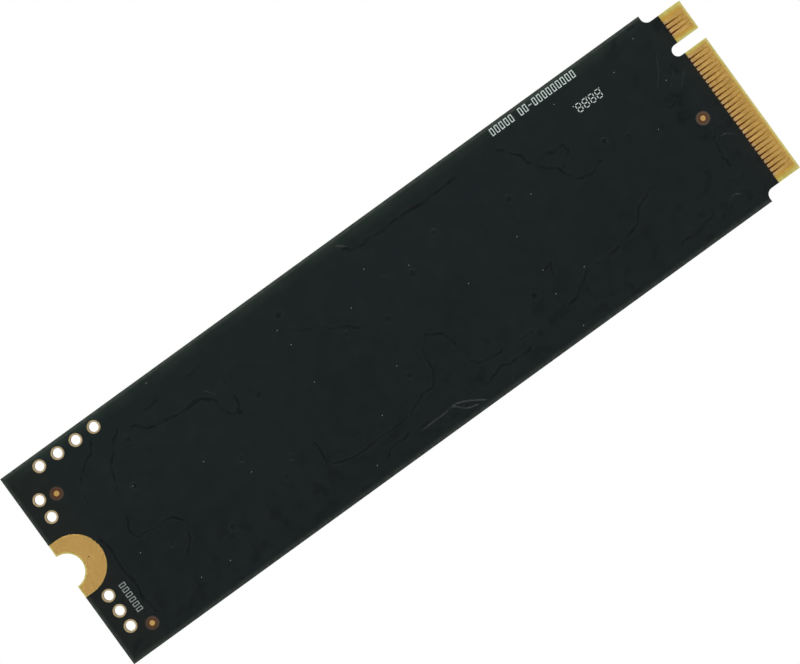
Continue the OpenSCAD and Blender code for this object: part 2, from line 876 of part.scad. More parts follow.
board_core();
back_prepreg();
front_prepreg();
inner_ground_plane();
inner_power_plane();
back_solder_mask();
front_solder_mask();
back_contact_fingers();
front_contact_fingers();
back_screw_pad();
front_screw_pad();
plated_test_holes();
back_fiducials();
front_fiducials();
back_silkscreen();
front_silkscreen();
nand_package_1();
nand_package_2();
nand_dies_1();
nand_dies_2();
nand_substrate_1();
nand_substrate_2();
nand_balls_1();
nand_balls_2();
controller_package();
controller_die();
controller_substrate();
controller_balls();
dram_package();
dram_die();
dram_substrate();
dram_balls();
firmware_flash_package();
firmware_flash_leads();
power_chip_package();
power_chip_pads();
load_switch_package();
load_switch_leads();
inductor_cores();
inductor_terminals();
bulk_capacitor_bodies();
bulk_capacitor_terminals();
crystal_base();
crystal_lid();
crystal_blank();
decoupling_capacitor_bodies();
decoupling_capacitor_ends();
filter_capacitor_bodies();
filter_capacitor_ends();
resistor_bodies();
resistor_coats();
resistor_ends();
ferrite_bead_bodies();
ferrite_bead_ends();
solder_joints();
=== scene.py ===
"""The looks of a solid state drive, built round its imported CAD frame.

The drive lies on its bare back with its components up. The main camera looks at the back from
straight below, so the floor shows only from above and the lights stand on both sides of it.
"""

import json
import math
import random

import bmesh
import bpy
from mathutils import Matrix, Vector


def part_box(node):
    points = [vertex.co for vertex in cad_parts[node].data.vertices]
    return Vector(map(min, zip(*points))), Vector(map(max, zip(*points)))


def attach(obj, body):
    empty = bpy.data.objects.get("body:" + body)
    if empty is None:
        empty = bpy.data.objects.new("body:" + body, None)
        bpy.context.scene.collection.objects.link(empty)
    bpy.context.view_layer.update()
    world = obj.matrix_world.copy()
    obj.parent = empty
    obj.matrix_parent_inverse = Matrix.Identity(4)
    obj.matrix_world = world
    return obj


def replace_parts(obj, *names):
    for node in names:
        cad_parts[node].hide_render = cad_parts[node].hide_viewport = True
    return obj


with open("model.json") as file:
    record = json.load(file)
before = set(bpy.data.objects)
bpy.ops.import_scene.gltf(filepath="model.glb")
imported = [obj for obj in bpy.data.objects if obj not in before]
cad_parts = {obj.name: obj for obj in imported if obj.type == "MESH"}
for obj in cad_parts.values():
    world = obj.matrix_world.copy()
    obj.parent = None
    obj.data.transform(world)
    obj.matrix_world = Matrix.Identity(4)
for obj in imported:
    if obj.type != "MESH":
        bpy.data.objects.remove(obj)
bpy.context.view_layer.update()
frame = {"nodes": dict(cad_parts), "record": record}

MM = 0.001

# ---- Sizes read from the frame, in metres ----

core_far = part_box("board_core")[1]
mask_near, mask_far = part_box("back_solder_mask")
TIP_X = core_far.x
HALF_W = core_far.y
BACK_Z = mask_near.z
FRONT_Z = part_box("front_solder_mask")[1].z
HALF_T = (FRONT_Z - BACK_Z) / 2  # half the board's thickness, with its masks
MASK_END_X = mask_far.x
FINGERS_HALF_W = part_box("front_contact_fingers")[1].y
CONTACT_STEP = 0.5 * MM
WELD = 1e-7  # vertices nearer than this are one
mounts = {mount["name"]: Vector(mount["pos_m"]) for mount in frame["record"]["mounts"]}
KEY_Y = mounts["key_notch"].y


# ---- Solids of a CAD node ----


def islands(bm):
    """The groups of vertices that are joined by edges."""
    seen = set()
    for start in bm.verts:
        if start in seen:
            continue
        seen.add(start)
        island = [start]
        for vert in island:
            for edge in vert.link_edges:
                other = edge.other_vert(vert)
                if other not in seen:
                    seen.add(other)
                    island.append(other)
        yield island


def solid_boxes(node):
    """The boxes of a node's separate solids, each as its lowest and highest corner."""
    bm = bmesh.new()
    bm.from_mesh(frame["nodes"][node].data)
    bmesh.ops.remove_doubles(bm, verts=bm.verts, dist=WELD)
    boxes = []
    for island in islands(bm):
        low = Vector([min(v.co[i] for v in island) for i in range(3)])
        high = Vector([max(v.co[i] for v in island) for i in range(3)])
        boxes.append((low, high))
    bm.free()
    return boxes


def middle(box):
    return (box[0] + box[1]) / 2


FIDUCIALS = [middle(b) for b in solid_boxes("back_fiducials")]
FRONT_FIDUCIALS = [middle(b) for b in solid_boxes("front_fiducials")]
TEST_HOLES = [middle(b) for b in solid_boxes("plated_test_holes")]


# ---- Materials ----


def srgb(red, green, blue):
    """A colour in 0 to 255 as the linear values that a shader takes."""

    def linear(c):
        c /= 255
        return c / 12.92 if c <= 0.04045 else ((c + 0.055) / 1.055) ** 2.4

    return (linear(red), linear(green), linear(blue), 1.0)


class Surface:
    """A material with one Principled shader, and short calls that add procedural nodes to it."""

    def __init__(self, name, **sockets):
        self.material = bpy.data.materials.new(name)
        self.material.use_nodes = True
        self.tree = self.material.node_tree
        self.shader = self.tree.nodes["Principled BSDF"]
        self.place = self.add("ShaderNodeTexCoord").outputs["Object"]
        for socket, value in sockets.items():
            self.shader.inputs[socket.replace("_", " ")].default_value = value

    def add(self, kind, **settings):
        node = self.tree.nodes.new(kind)
        for key, value in settings.items():
            setattr(node, key, value)
        return node

    def feed(self, socket, value):
        if isinstance(value, bpy.types.NodeSocket):
            self.tree.links.new(value, socket)
        else:
            socket.default_value = value

    def set(self, socket, value):
        self.feed(self.shader.inputs[socket], value)

    def calc(self, operation, a, b=0.0):
        node = self.add("ShaderNodeMath", operation=operation)
        self.feed(node.inputs[0], a)
        self.feed(node.inputs[1], b)
        return node.outputs[0]

    def ramp(self, value, low, high, to_low=0.0, to_high=1.0):
        """value carried from low..high to to_low..to_high, and held there outside it."""
        node = self.add("ShaderNodeMapRange", interpolation_type="SMOOTHSTEP")
        for socket, v in zip(node.inputs[:5], (value, low, high, to_low, to_high)):
            self.feed(socket, v)
        return node.outputs[0]

    def stretched(self, stretch):
        node = self.add("ShaderNodeVectorMath", operation="MULTIPLY")
        self.feed(node.inputs[0], self.place)
        node.inputs[1].default_value = stretch
        return node.outputs[0]

    def noise(self, size, detail=3.0, stretch=None, rough=0.55):
        """Noise with blotches of about this size in metres, from 0 to 1."""
        node = self.add("ShaderNodeTexNoise")
        self.feed(node.inputs["Vector"], self.stretched(stretch) if stretch else self.place)
        node.inputs["Scale"].default_value = 1 / size
        node.inputs["Detail"].default_value = detail
        node.inputs["Roughness"].default_value = rough
        return node.outputs["Fac"]

    def cells(self, size):
        """Distance from the middle of, and a random share for, flat cells of this size."""
        node = self.add("ShaderNodeTexVoronoi", voronoi_dimensions="2D")
        self.feed(node.inputs["Vector"], self.place)
        node.inputs["Scale"].default_value = 1 / size
        split = self.add("ShaderNodeSeparateColor")
        self.feed(split.inputs[0], node.outputs["Color"])
        return node.outputs["Distance"], split.outputs[0]

    def axes(self):
        node = self.add("ShaderNodeSeparateXYZ")
        self.feed(node.inputs[0], self.place)
        return node.outputs

    def from_mid_plane(self):
        """Distance up or down from the middle of the board's thickness, in metres."""
        return self.calc("ABSOLUTE", self.calc("SUBTRACT", self.axes()[2], BACK_Z + HALF_T))

    def away_from(self, point):
        """Distance across the board from a point, in metres."""
        x, y, _ = self.axes()
        dx = self.calc("SUBTRACT", x, point.x)
        dy = self.calc("SUBTRACT", y, point.y)
        square = self.calc("ADD", self.calc("MULTIPLY", dx, dx), self.calc("MULTIPLY", dy, dy))
        return self.calc("SQRT", square)

    def blend(self, share, first, second):
        """The first colour at share 0 and the second at share 1."""
        node = self.add("ShaderNodeMix", data_type="RGBA")
        sockets = {socket.identifier: socket for socket in node.inputs}
        self.feed(sockets["Factor_Float"], share)
        self.feed(sockets["A_Color"], first)
        self.feed(sockets["B_Color"], second)
        return {socket.identifier: socket for socket in node.outputs}["Result_Color"]

    def bump(self, height, depth, below=None):
        """Normal from a height of 0 to 1, depth metres deep, on top of an earlier bump."""
        node = self.add("ShaderNodeBump")
        node.inputs["Strength"].default_value = 1.0
        node.inputs["Distance"].default_value = depth
        self.feed(node.inputs["Height"], height)
        if below:
            self.feed(node.inputs["Normal"], below)
        return node.outputs["Normal"]


RIDGE_H = 0.01 * MM  # how far the mask stands proud over an outer trace
# A painted highlight lies on a ridge's foot between these two heights, and painted shade above them
FOOT_LOW = 0.0002 * MM  # the foot of a ridge begins this far out of the mask's face
FOOT_TOP = 0.0014 * MM  # and ends this far out
MASK_DARK = srgb(22, 27, 28)
MASK_LIGHT = srgb(24, 29, 30)


def mask_body(s, x, y):
    """Near black, warmer at both ends of the board, and greener towards the -Y rim, where no
    copper lies under the mask and painted light shows through the laminate.
    """
    body = s.blend(s.ramp(s.noise(14 * MM, 3), 0.35, 0.65), MASK_DARK, MASK_LIGHT)
    body = s.blend(s.ramp(y, 2 * MM, 0.5 * MM - HALF_W), body, srgb(24, 31, 31))
    end = s.calc("MAXIMUM", s.ramp(x, 4.8 * MM, 3.2 * MM), s.ramp(x, 75 * MM, MASK_END_X))
    body = s.blend(s.calc("MULTIPLY", end, 0.7), body, srgb(28, 31, 29))
    # Painted light showing through the laminate near the -Y rim, where no copper lies under the mask
    rim = s.ramp(y, 1.5 * MM - HALF_W, 0.1 * MM - HALF_W)
    rim = s.calc("MULTIPLY", rim, s.ramp(s.noise(4 * MM, 2), 0.3, 0.65, 0.45, 1.0))
    return s.blend(rim, body, srgb(35, 45, 41))


def mask_relief_shading(s, body, x, y):
    """Painted shade in dark patches where the mask is creased; a painted highlight on a ridge's foot
    and painted shade on its top, where the mask stands proud.
    """
    creased = s.calc("MAXIMUM", s.ramp(y, 3 * MM, 7.5 * MM), s.ramp(x, 70 * MM, 73 * MM))
    # Painted shade: dark patches in the creased parts
    crease_shade = s.calc("MULTIPLY", creased, s.ramp(s.noise(1.7 * MM, 5), 0.54, 0.64, 0.0, 0.6))
    body = s.blend(crease_shade, body, srgb(17, 21, 22))
    out = s.from_mid_plane()
    broken = s.ramp(s.noise(1.3 * MM, 4), 0.36, 0.6, 0.15, 1.0)
    # Painted highlight: a paler band on the foot of each ridge and dome
    foot_highlight = s.ramp(out, HALF_T + FOOT_LOW, HALF_T + FOOT_TOP)
    body = s.blend(s.calc("MULTIPLY", foot_highlight, broken), body, srgb(27, 32, 33))
    # Painted shade: a darker top on each ridge and dome
    proud_shade = s.ramp(out, HALF_T + FOOT_TOP, HALF_T + RIDGE_H)
    return s.blend(s.calc("MULTIPLY", proud_shade, broken), body, srgb(15, 19, 20))


def mask_border(s, body, x, y):
    """A thin pale border where the board was cut out: both long edges and the screw end."""
    border = s.ramp(y, 0.45 * MM - HALF_W, 0.15 * MM - HALF_W)
    border = s.calc("MAXIMUM", border, s.ramp(y, HALF_W - 0.6 * MM, HALF_W, 0.0, 0.8))
    border = s.calc("MAXIMUM", border, s.ramp(x, 0.5 * MM, 0.05 * MM, 0.0, 0.8))
    border = s.calc("MULTIPLY", border, s.ramp(s.noise(0.6 * MM, 4), 0.25, 0.7, 0.35, 1.0))
    return s.blend(border, body, srgb(62, 68, 62))


SPECK_CELL = 3.4 * MM
SPECK_SIZE = 0.013  # radius of a speck, as a share of its cell
SPECK_SHARE = 0.18  # share of the cells that have a speck


def dusted(s, body):
    """Small pale specks of dust, scattered over the mask."""
    distance, chance = s.cells(SPECK_CELL)
    fleck = s.calc("LESS_THAN", distance, SPECK_SIZE)
    fleck = s.calc("MULTIPLY", fleck, s.calc("GREATER_THAN", chance, 1 - SPECK_SHARE))
    return s.blend(fleck, body, srgb(128, 134, 128))


def solder_mask(name):
    """Glossy mask, near black, with slight waves and orange peel."""
    s = Surface(name, IOR=1.5)
    x, y, _ = s.axes()
    # The mask's colour carries painted shade and painted highlights for its creases and ridges
    body = mask_relief_shading(s, mask_body(s, x, y), x, y)
    s.set("Base Color", dusted(s, mask_border(s, body, x, y)))
    s.set("Roughness", s.ramp(s.noise(1.6 * MM, 5), 0.25, 0.75, 0.2, 0.26))
    peel = s.bump(s.noise(0.35 * MM, 2), 0.0005 * MM)
    s.set("Normal", s.bump(s.noise(3.2 * MM, 3), 0.004 * MM, peel))
    return s.material


def gold(name, deep, lift, rub=None, dark_spot=None, barrel_shade=None):
    """Matt gold with fine grain, between two tones.

    rub is the depth of the rubbed lines along a contact; the next argument is the place of a small
    dark spot, and the last one the colour of painted shade on the wall inside a plated hole, away
    from the board's faces.
    """
    s = Surface(name, Metallic=1.0)
    tone = s.blend(s.ramp(s.noise(1.7 * MM, 4), 0.3, 0.7), deep, lift)
    grain = s.noise(0.035 * MM, 2)
    tone = s.blend(s.ramp(grain, 0.35, 0.7, 0.0, 0.3), tone, srgb(244, 206, 134))
    if dark_spot:
        # A small dark spot in the gold's colour
        tone = s.blend(s.ramp(s.away_from(dark_spot), 0.08 * MM, 0.05 * MM), tone, srgb(60, 34, 14))
    if barrel_shade:
        # Painted shade on the wall deep inside a plated hole
        bore_shade = s.ramp(s.from_mid_plane(), HALF_T - 0.05 * MM, HALF_T - 0.2 * MM)
        tone = s.blend(bore_shade, tone, barrel_shade)
    if rub:
        by_mask = s.ramp(s.axes()[0], MASK_END_X + 0.35 * MM, MASK_END_X + 0.05 * MM)
        tone = s.blend(by_mask, tone, srgb(214, 189, 144))
        lines = s.noise(0.03 * MM, 3, stretch=(0.04, 1.0, 1.0))
        s.set("Roughness", s.ramp(lines, 0.3, 0.7, 0.36, 0.52))
        s.set("Normal", s.bump(lines, rub))
    else:
        s.set("Roughness", s.ramp(s.noise(0.12 * MM, 4), 0.3, 0.7, 0.38, 0.52))
        s.set("Normal", s.bump(grain, 0.0012 * MM))
    s.set("Base Color", tone)
    return s.material


KEY_CLEAR = 1.25 * MM  # every gap between two contacts is farther than this from the key notch
# The dark line in a gap is partly painted shade between the raised contacts
GAP_REACH = 0.1 * MM  # half width of the dark line in a gap; the contacts cover the rest of it


def contact_tint(s, pale, x, y, gap_shift):
    """Laminate at the tongue: brown round the contacts, and a dark line in each gap, from copper
    under the laminate and from painted shade between the raised contacts.

    gap_shift moves the lines sideways onto the gaps of this face. Returns the colour, and how
    dark the gap is, from 0 to 1.
    """
    from_middle = s.calc("ABSOLUTE", y)
    from_key = s.calc("ABSOLUTE", s.calc("SUBTRACT", y, KEY_Y))
    inside = s.ramp(from_middle, FINGERS_HALF_W + 0.35 * MM, FINGERS_HALF_W - 0.1 * MM)
    inside = s.calc("MULTIPLY", inside, s.ramp(from_key, 0.75 * MM, 1.05 * MM))
    past_mask = s.ramp(x, MASK_END_X - 0.6 * MM, MASK_END_X - 0.3 * MM)
    on_tongue = s.calc("MULTIPLY", inside, past_mask)
    before_tip = s.ramp(x, TIP_X - 0.1 * MM, TIP_X - 0.3 * MM)
    pale = s.blend(s.calc("MULTIPLY", on_tongue, before_tip), pale, srgb(164, 134, 54))
    wave = s.calc("PINGPONG", s.calc("ADD", y, gap_shift), CONTACT_STEP / 2)
    in_gap = s.calc("GREATER_THAN", wave, CONTACT_STEP / 2 - GAP_REACH)
    in_gap = s.calc("MULTIPLY", in_gap, s.calc("GREATER_THAN", from_key, KEY_CLEAR))
    last_gap = s.calc("LESS_THAN", from_middle, FINGERS_HALF_W - 0.3 * MM)
    in_gap = s.calc("MULTIPLY", in_gap, last_gap)
    fade = s.ramp(x, MASK_END_X + 0.1 * MM, TIP_X - 0.1 * MM, 1.0, 0.0)
    # The dark gap line: copper under the laminate and painted shade between the contacts
    dark = s.calc("MULTIPLY", s.calc("MULTIPLY", in_gap, fade), on_tongue)
    return s.blend(dark, pale, srgb(70, 18, 0)), dark


def ring_tint(s, pale):
    """Dark rings where the laminate shows round the fiducial dots and the test holes."""
    for spot in FIDUCIALS + FRONT_FIDUCIALS:
        browner = spot.x < TIP_X / 2
        inner = srgb(64, 29, 3) if browner else srgb(66, 33, 8)
        outer = srgb(70, 46, 26) if browner else srgb(80, 57, 40)
        faint = srgb(42, 38, 28) if browner else srgb(58, 52, 42)
        away = s.away_from(spot)
        ring = s.blend(s.ramp(away, 0.38 * MM, 0.48 * MM), inner, outer)
        ring = s.blend(s.ramp(away, 0.5 * MM, 0.7 * MM), ring, faint)
        pale = s.blend(s.calc("LESS_THAN", away, 0.8 * MM), pale, ring)
    for spot in TEST_HOLES:
        pale = s.blend(s.ramp(s.away_from(spot), 0.76 * MM, 0.74 * MM), pale, srgb(48, 36, 22))
    return pale


def laminate(name, dark, light, gap_shift=None):
    """Glass epoxy with its weave; an outer layer has a gap_shift, as in contact_tint.

    The gaps between the contacts are glossy with resin.
    """
    s = Surface(name, IOR=1.52)
    x, y, _ = s.axes()
    warp = s.noise(0.28 * MM, 2, stretch=(0.25, 1.0, 1.0))
    weft = s.noise(0.28 * MM, 2, stretch=(1.0, 0.25, 1.0))
    weave = s.calc("MULTIPLY", s.calc("ADD", warp, weft), 0.5)
    pale = s.blend(s.ramp(weave, 0.35, 0.65), dark, light)
    pale = s.blend(s.ramp(s.noise(1.4 * MM, 3), 0.3, 0.7, 0.0, 0.4), pale, dark)
    rough = s.ramp(weave, 0.3, 0.7, 0.36, 0.5)
    if gap_shift is not None:
        pale, gap_shade = contact_tint(s, pale, x, y, gap_shift)
        pale = ring_tint(s, pale)
        # less rough where the dark gap line, partly painted shade, lies
        rough = s.calc("MULTIPLY", rough, s.ramp(gap_shade, 0.0, 0.5, 1.0, 0.3))
    s.set("Base Color", pale)
    s.set("Roughness", rough)
    s.set("Normal", s.bump(weave, 0.004 * MM))
    return s.material


def moulding(name, colour, grain=0.045):
    """Matt moulded epoxy: fine filler grain, pale specks and soft swirls."""
    s = Surface(name, IOR=1.48)
    pale = tuple(c * 1.7 + 0.004 for c in colour[:3]) + (1.0,)
    swirl = s.ramp(s.noise(3.5 * MM, 5), 0.3, 0.7, 0.0, 0.45)
    tone = s.blend(swirl, colour, pale)
    grains = s.noise(grain * MM, 3, rough=0.7)
    tone = s.blend(s.ramp(grains, 0.58, 0.78, 0.0, 0.6), tone, pale)
    s.set("Base Color", tone)
    s.set("Roughness", s.ramp(grains, 0.25, 0.75, 0.5, 0.72))
    s.set("Normal", s.bump(grains, 0.0035 * MM))
    return s.material


def metal(name, colour, rough, grain, depth):
    """Bare or plated metal with a fine uneven skin."""
    s = Surface(name, Metallic=1.0)
    pale = tuple(min(1.0, c * 1.15) for c in colour[:3]) + (1.0,)
    skin = s.noise(grain * MM, 4)
    s.set("Base Color", s.blend(s.ramp(skin, 0.3, 0.7), colour, pale))
    s.set("Roughness", s.ramp(s.noise(grain * 3 * MM, 3), 0.3, 0.7, rough * 0.8, rough * 1.25))
    s.set("Normal", s.bump(skin, depth * MM))
    return s.material


def fired(name, colour, rough=0.5, speck=0.03):
    """Fired ceramic or pressed powder with tone variation and a fine grain."""
    s = Surface(name, IOR=1.55)
    pale = tuple(min(1.0, c * 1.25) for c in colour[:3]) + (1.0,)
    deep = tuple(c * 0.75 for c in colour[:3]) + (1.0,)
    tone = s.blend(s.ramp(s.noise(0.9 * MM, 4), 0.3, 0.7), deep, pale)
    grains = s.noise(speck * MM, 3)
    s.set("Base Color", s.blend(s.ramp(grains, 0.4, 0.75, 0.0, 0.4), tone, pale))
    s.set("Roughness", s.ramp(grains, 0.3, 0.7, rough * 0.85, rough * 1.2))
    s.set("Normal", s.bump(grains, 0.002 * MM))
    return s.material


FAINT_PRINT_X = 4.2 * MM  # the print nearer to the screw notch than this is faint


def ink(name, colour):
    """Screen print: matt ink, a little uneven in cover."""
    s = Surface(name, Roughness=0.55)
    thin = tuple(c * 0.72 for c in colour[:3]) + (1.0,)
    x, _, _ = s.axes()
    tone = s.blend(s.ramp(s.noise(0.08 * MM, 4), 0.35, 0.65), thin, colour)
    faint = tuple(c * 0.42 for c in colour[:3]) + (1.0,)
    tone = s.blend(s.calc("LESS_THAN", x, FAINT_PRINT_X), tone, faint)
    s.set("Base Color", tone)
    s.set("Normal", s.bump(s.noise(0.05 * MM, 3), 0.002 * MM))
    return s.material


PAD_DARK_SPOT = Vector((2.53, 0.02, 0)) * MM  # a small dark spot on the back screw pad
EPOXY_DARK = srgb(156, 146, 78)  # the outer laminate in the hollows of its weave
EPOXY_LIGHT = srgb(172, 166, 98)  # and on its threads

MATERIALS = {
    "solder_mask": solder_mask("solder_mask"),
    "gold_pad": gold("gold_pad", srgb(224, 182, 106), srgb(232, 190, 112)),
    "gold_hole": gold(
        # the last colour is painted shade deep inside the holes
        "gold_hole", srgb(208, 188, 148), srgb(218, 198, 158), barrel_shade=srgb(96, 66, 34)
    ),
    "gold_screw_pad": gold("gold_screw_pad", srgb(226, 182, 103), srgb(232, 188, 108), dark_spot=PAD_DARK_SPOT),
    "gold_contact": gold("gold_contact", srgb(226, 180, 102), srgb(236, 192, 112), rub=0.002 * MM),
    "laminate_back": laminate("laminate_back", EPOXY_DARK, EPOXY_LIGHT, 0.0),
    "laminate_front": laminate("laminate_front", EPOXY_DARK, EPOXY_LIGHT, CONTACT_STEP / 2),
    "laminate_core": laminate("laminate_core", srgb(154, 146, 100), srgb(176, 168, 122)),
    "inner_copper": metal("inner_copper", srgb(130, 70, 42), 0.5, 0.1, 0.002),
    "screen_print": ink("screen_print", srgb(186, 196, 192)),
    "mould_compound": moulding("mould_compound", srgb(34, 34, 36)),
    "capacitor_case": moulding("capacitor_case", srgb(38, 38, 41), 0.06),
    "silicon": metal("silicon", srgb(96, 100, 110), 0.25, 0.4, 0.0005),
    "package_substrate": fired("package_substrate", srgb(22, 66, 44), 0.35, 0.05),
    "solder": metal("solder", srgb(196, 198, 200), 0.22, 0.12, 0.004),
    "tin_plating": metal("tin_plating", srgb(188, 188, 186), 0.38, 0.03, 0.0025),
    "ferrite": fired("ferrite", srgb(66, 67, 70), 0.55, 0.05),
    "bead": fired("bead", srgb(52, 53, 56), 0.4, 0.03),
    "capacitor_ceramic": fired("capacitor_ceramic", srgb(150, 118, 88), 0.42, 0.02),
    "alumina": fired("alumina", srgb(228, 226, 218), 0.5, 0.02),
    "resistor_glaze": moulding("resistor_glaze", srgb(20, 20, 23), 0.03),
    "crystal_ceramic": fired("crystal_ceramic", srgb(128, 120, 108), 0.55, 0.03),
    "crystal_metal": metal("crystal_metal", srgb(170, 168, 164), 0.3, 0.05, 0.0015),
    "quartz": fired("quartz", srgb(214, 222, 230), 0.1, 0.5),
    "laser_mark": ink("laser_mark", srgb(118, 120, 124)),
}

# ---- CAD nodes: their materials, and a soft edge where the real piece has one ----

LOOKS = {
    "solder_mask": ["back_solder_mask", "front_solder_mask"],
    "gold_pad": ["front_screw_pad", "back_fiducials", "front_fiducials"],
    "gold_hole": ["plated_test_holes"],
    "gold_screw_pad": ["back_screw_pad"],
    "gold_contact": ["back_contact_fingers", "front_contact_fingers"],
    "laminate_back": ["back_prepreg"],
    "laminate_front": ["front_prepreg"],
    "laminate_core": ["board_core"],
    "inner_copper": ["inner_ground_plane", "inner_power_plane"],
    "screen_print": ["back_silkscreen", "front_silkscreen"],
    "mould_compound": [
        "nand_package_1", "nand_package_2", "controller_package", "dram_package",
        "firmware_flash_package", "power_chip_package", "load_switch_package",
    ],
    "capacitor_case": ["bulk_capacitor_bodies"],
    "silicon": ["nand_dies_1", "nand_dies_2", "controller_die", "dram_die"],
    "package_substrate": [
        "nand_substrate_1", "nand_substrate_2", "controller_substrate", "dram_substrate",
    ],
    "solder": ["nand_balls_1", "nand_balls_2", "controller_balls", "dram_balls", "solder_joints"],
    "tin_plating": [
        "firmware_flash_leads", "power_chip_pads", "load_switch_leads", "inductor_terminals",
        "bulk_capacitor_terminals", "decoupling_capacitor_ends", "filter_capacitor_ends",
        "resistor_ends", "ferrite_bead_ends",
    ],
    "ferrite": ["inductor_cores"],
    "bead": ["ferrite_bead_bodies"],
    "capacitor_ceramic": ["decoupling_capacitor_bodies", "filter_capacitor_bodies"],
    "alumina": ["resistor_bodies"],
    "resistor_glaze": ["resistor_coats"],
    "crystal_ceramic": ["crystal_base"],
    "crystal_metal": ["crystal_lid"],
    "quartz": ["crystal_blank"],
}
# How wide the soft edge of a node is, in mm
SOFT_EDGES = {
    "nand_package_1": 0.03, "nand_package_2": 0.03, "controller_package": 0.03, "dram_package": 0.03,
    "firmware_flash_package": 0.02, "power_chip_package": 0.02, "load_switch_package": 0.03,
    "inductor_cores": 0.06, "bulk_capacitor_bodies": 0.05, "crystal_base": 0.03, "crystal_lid": 0.03,
    "inductor_terminals": 0.02, "bulk_capacitor_terminals": 0.02, "load_switch_leads": 0.02,
    "back_contact_fingers": 0.008, "front_contact_fingers": 0.008,
    "back_screw_pad": 0.01, "front_screw_pad": 0.01, "solder_joints": 0.01,
    "decoupling_capacitor_bodies": 0.03, "filter_capacitor_bodies": 0.04, "resistor_bodies": 0.02,
    "ferrite_bead_bodies": 0.04, "resistor_coats": 0.006, "power_chip_pads": 0.01,
}


def dress(node, material):
    """Give a CAD node its only material."""
    slots = frame["nodes"][node].data.materials
    slots.clear()
    slots.append(material)


def soften(node, width):
    """Bevel the sharp edges of a CAD node, width mm wide."""
    cad = frame["nodes"][node]
    weld = cad.modifiers.new("weld", "WELD")
    weld.merge_threshold = WELD
    bevel = cad.modifiers.new("soft_edge", "BEVEL")
    bevel.width = width * MM
    bevel.segments = 2
    bevel.limit_method = "ANGLE"
    bevel.angle_limit = math.radians(40)


for look, nodes in LOOKS.items():
    for node in nodes:
        dress(node, MATERIALS[look])
for node, width in SOFT_EDGES.items():
    soften(node, width)


# ---- Making a piece ----


def piece(name, bm, look, smooth=40):
    """A finished mesh as an object that rides on the drive."""
    bmesh.ops.recalc_face_normals(bm, faces=bm.faces)
    mesh = bpy.data.meshes.new(name)
    bm.to_mesh(mesh)
    bm.free()
    mesh.materials.append(MATERIALS[look])
    mesh.shade_smooth()
    mesh.set_sharp_from_angle(angle=math.radians(smooth))
    made = bpy.data.objects.new(name, mesh)
    bpy.context.scene.collection.objects.link(made)
    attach(made, "root")
    return made


def loft(bm, rings):
    """Skin over closed rings of the same number of points, with flat caps at both ends."""
    loops = [[bm.verts.new(p) for p in ring] for ring in rings]
    count = len(loops[0])
    for low, high in zip(loops, loops[1:]):
        for i in range(count):
            j = (i + 1) % count
            bm.faces.new((low[i], low[j], high[j], high[i]))
    bm.faces.new(reversed(loops[0]))
    bm.faces.new(loops[-1])


def circle(centre, radius, z, count):
    """Points round a level circle."""
    turn = 2 * math.pi / count
    return [
        (centre.x + radius * math.cos(i * turn), centre.y + radius * math.sin(i * turn), z)
        for i in range(count)
    ]


# ---- Solder balls: squashed barrels in place of the plain cylinders ----


# Share of a ball's height, and its radius there as a share of the cylinder's
BARREL = [(0.0, 0.78), (0.2, 1.0), (0.5, 1.1), (0.8, 1.0), (1.0, 0.78)]


def ball_piece(name, node):
    bm = bmesh.new()
    for low, high in solid_boxes(node):
        centre = (low + high) / 2
        radius = (high.x - low.x) / 2
        height = high.z - low.z
        loft(bm, [circle(centre, radius * r, low.z + height * t, 12) for t, r in BARREL])
    made = piece(name, bm, "solder", 60)
    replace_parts(made, node)


for node in ("nand_balls_1", "nand_balls_2", "controller_balls", "dram_balls"):
    ball_piece(node + "_reflowed", node)


# ---- End caps with round corners, in place of the thin square ones ----

# How far the corners of each part's end caps are rounded, in mm
CAP_ROUND = {
    "decoupling_capacitor": 0.045, "filter_capacitor": 0.06, "resistor": 0.03, "ferrite_bead": 0.06,
}
CAP_GROW = Vector((0.004, 0.004, 0.0)) * MM  # the caps stand this much proud of the CAD ones


def block(bm, low, high):
    """A plain box from its lowest to its highest corner."""
    size = high - low
    centre = (low + high) / 2
    for vert in bmesh.ops.create_cube(bm, size=1.0)["verts"]:
        vert.co = Vector([vert.co[i] * size[i] + centre[i] for i in range(3)])


def round_caps(part, radius):
    node = part + "_ends"
    bm = bmesh.new()
    for low, high in solid_boxes(node):
        block(bm, low - CAP_GROW, high + CAP_GROW)
    edges = list(bm.edges)
    bmesh.ops.bevel(bm, geom=edges, offset=radius * MM, segments=2, profile=0.5, affect="EDGES")
    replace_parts(piece(node + "_rounded", bm, "tin_plating", 50), node)


for part, radius in CAP_ROUND.items():
    round_caps(part, radius)

# ---- Solder fillets at the ends of the chip parts ----

# The ends of each part, the bodies that they belong to, and how high the solder climbs, in mm
JOINTS = {
    "decoupling_capacitor_ends": ("decoupling_capacitor_bodies", 0.24),
    "filter_capacitor_ends": ("filter_capacitor_bodies", 0.34),
    "resistor_ends": ("resistor_bodies", 0.2),
    "ferrite_bead_ends": ("ferrite_bead_bodies", 0.34),
    "inductor_terminals": ("inductor_cores", 0.26),
    "bulk_capacitor_terminals": ("bulk_capacitor_bodies", 0.3),
}


FILLET_REACH = 0.11 * MM  # how far the solder runs out over the board
FILLET_INSET = 0.04 * MM  # and in under the end
FILLET_OVER = 0.02 * MM  # and past the end on either side
# Place across the end, from side to side, and the fillet's share of its full size there
FILLET_RUN = [(-1.0, 0.45), (-0.8, 0.9), (-0.4, 1.0), (0.4, 1.0), (0.8, 0.9), (1.0, 0.45)]
FILLET_STEPS = 4  # straight pieces in its hollow face


def outward(end, bodies):
    """Direction along the board from the middle of a part to this end of it."""
    spot = middle(end)
    body = next(b for b in bodies if all(b[0][i] <= spot[i] <= b[1][i] for i in (0, 1)))
    away = spot - middle(body)
    if abs(away.x) > abs(away.y):
        return Vector((math.copysign(1, away.x), 0, 0))
    return Vector((0, math.copysign(1, away.y), 0))


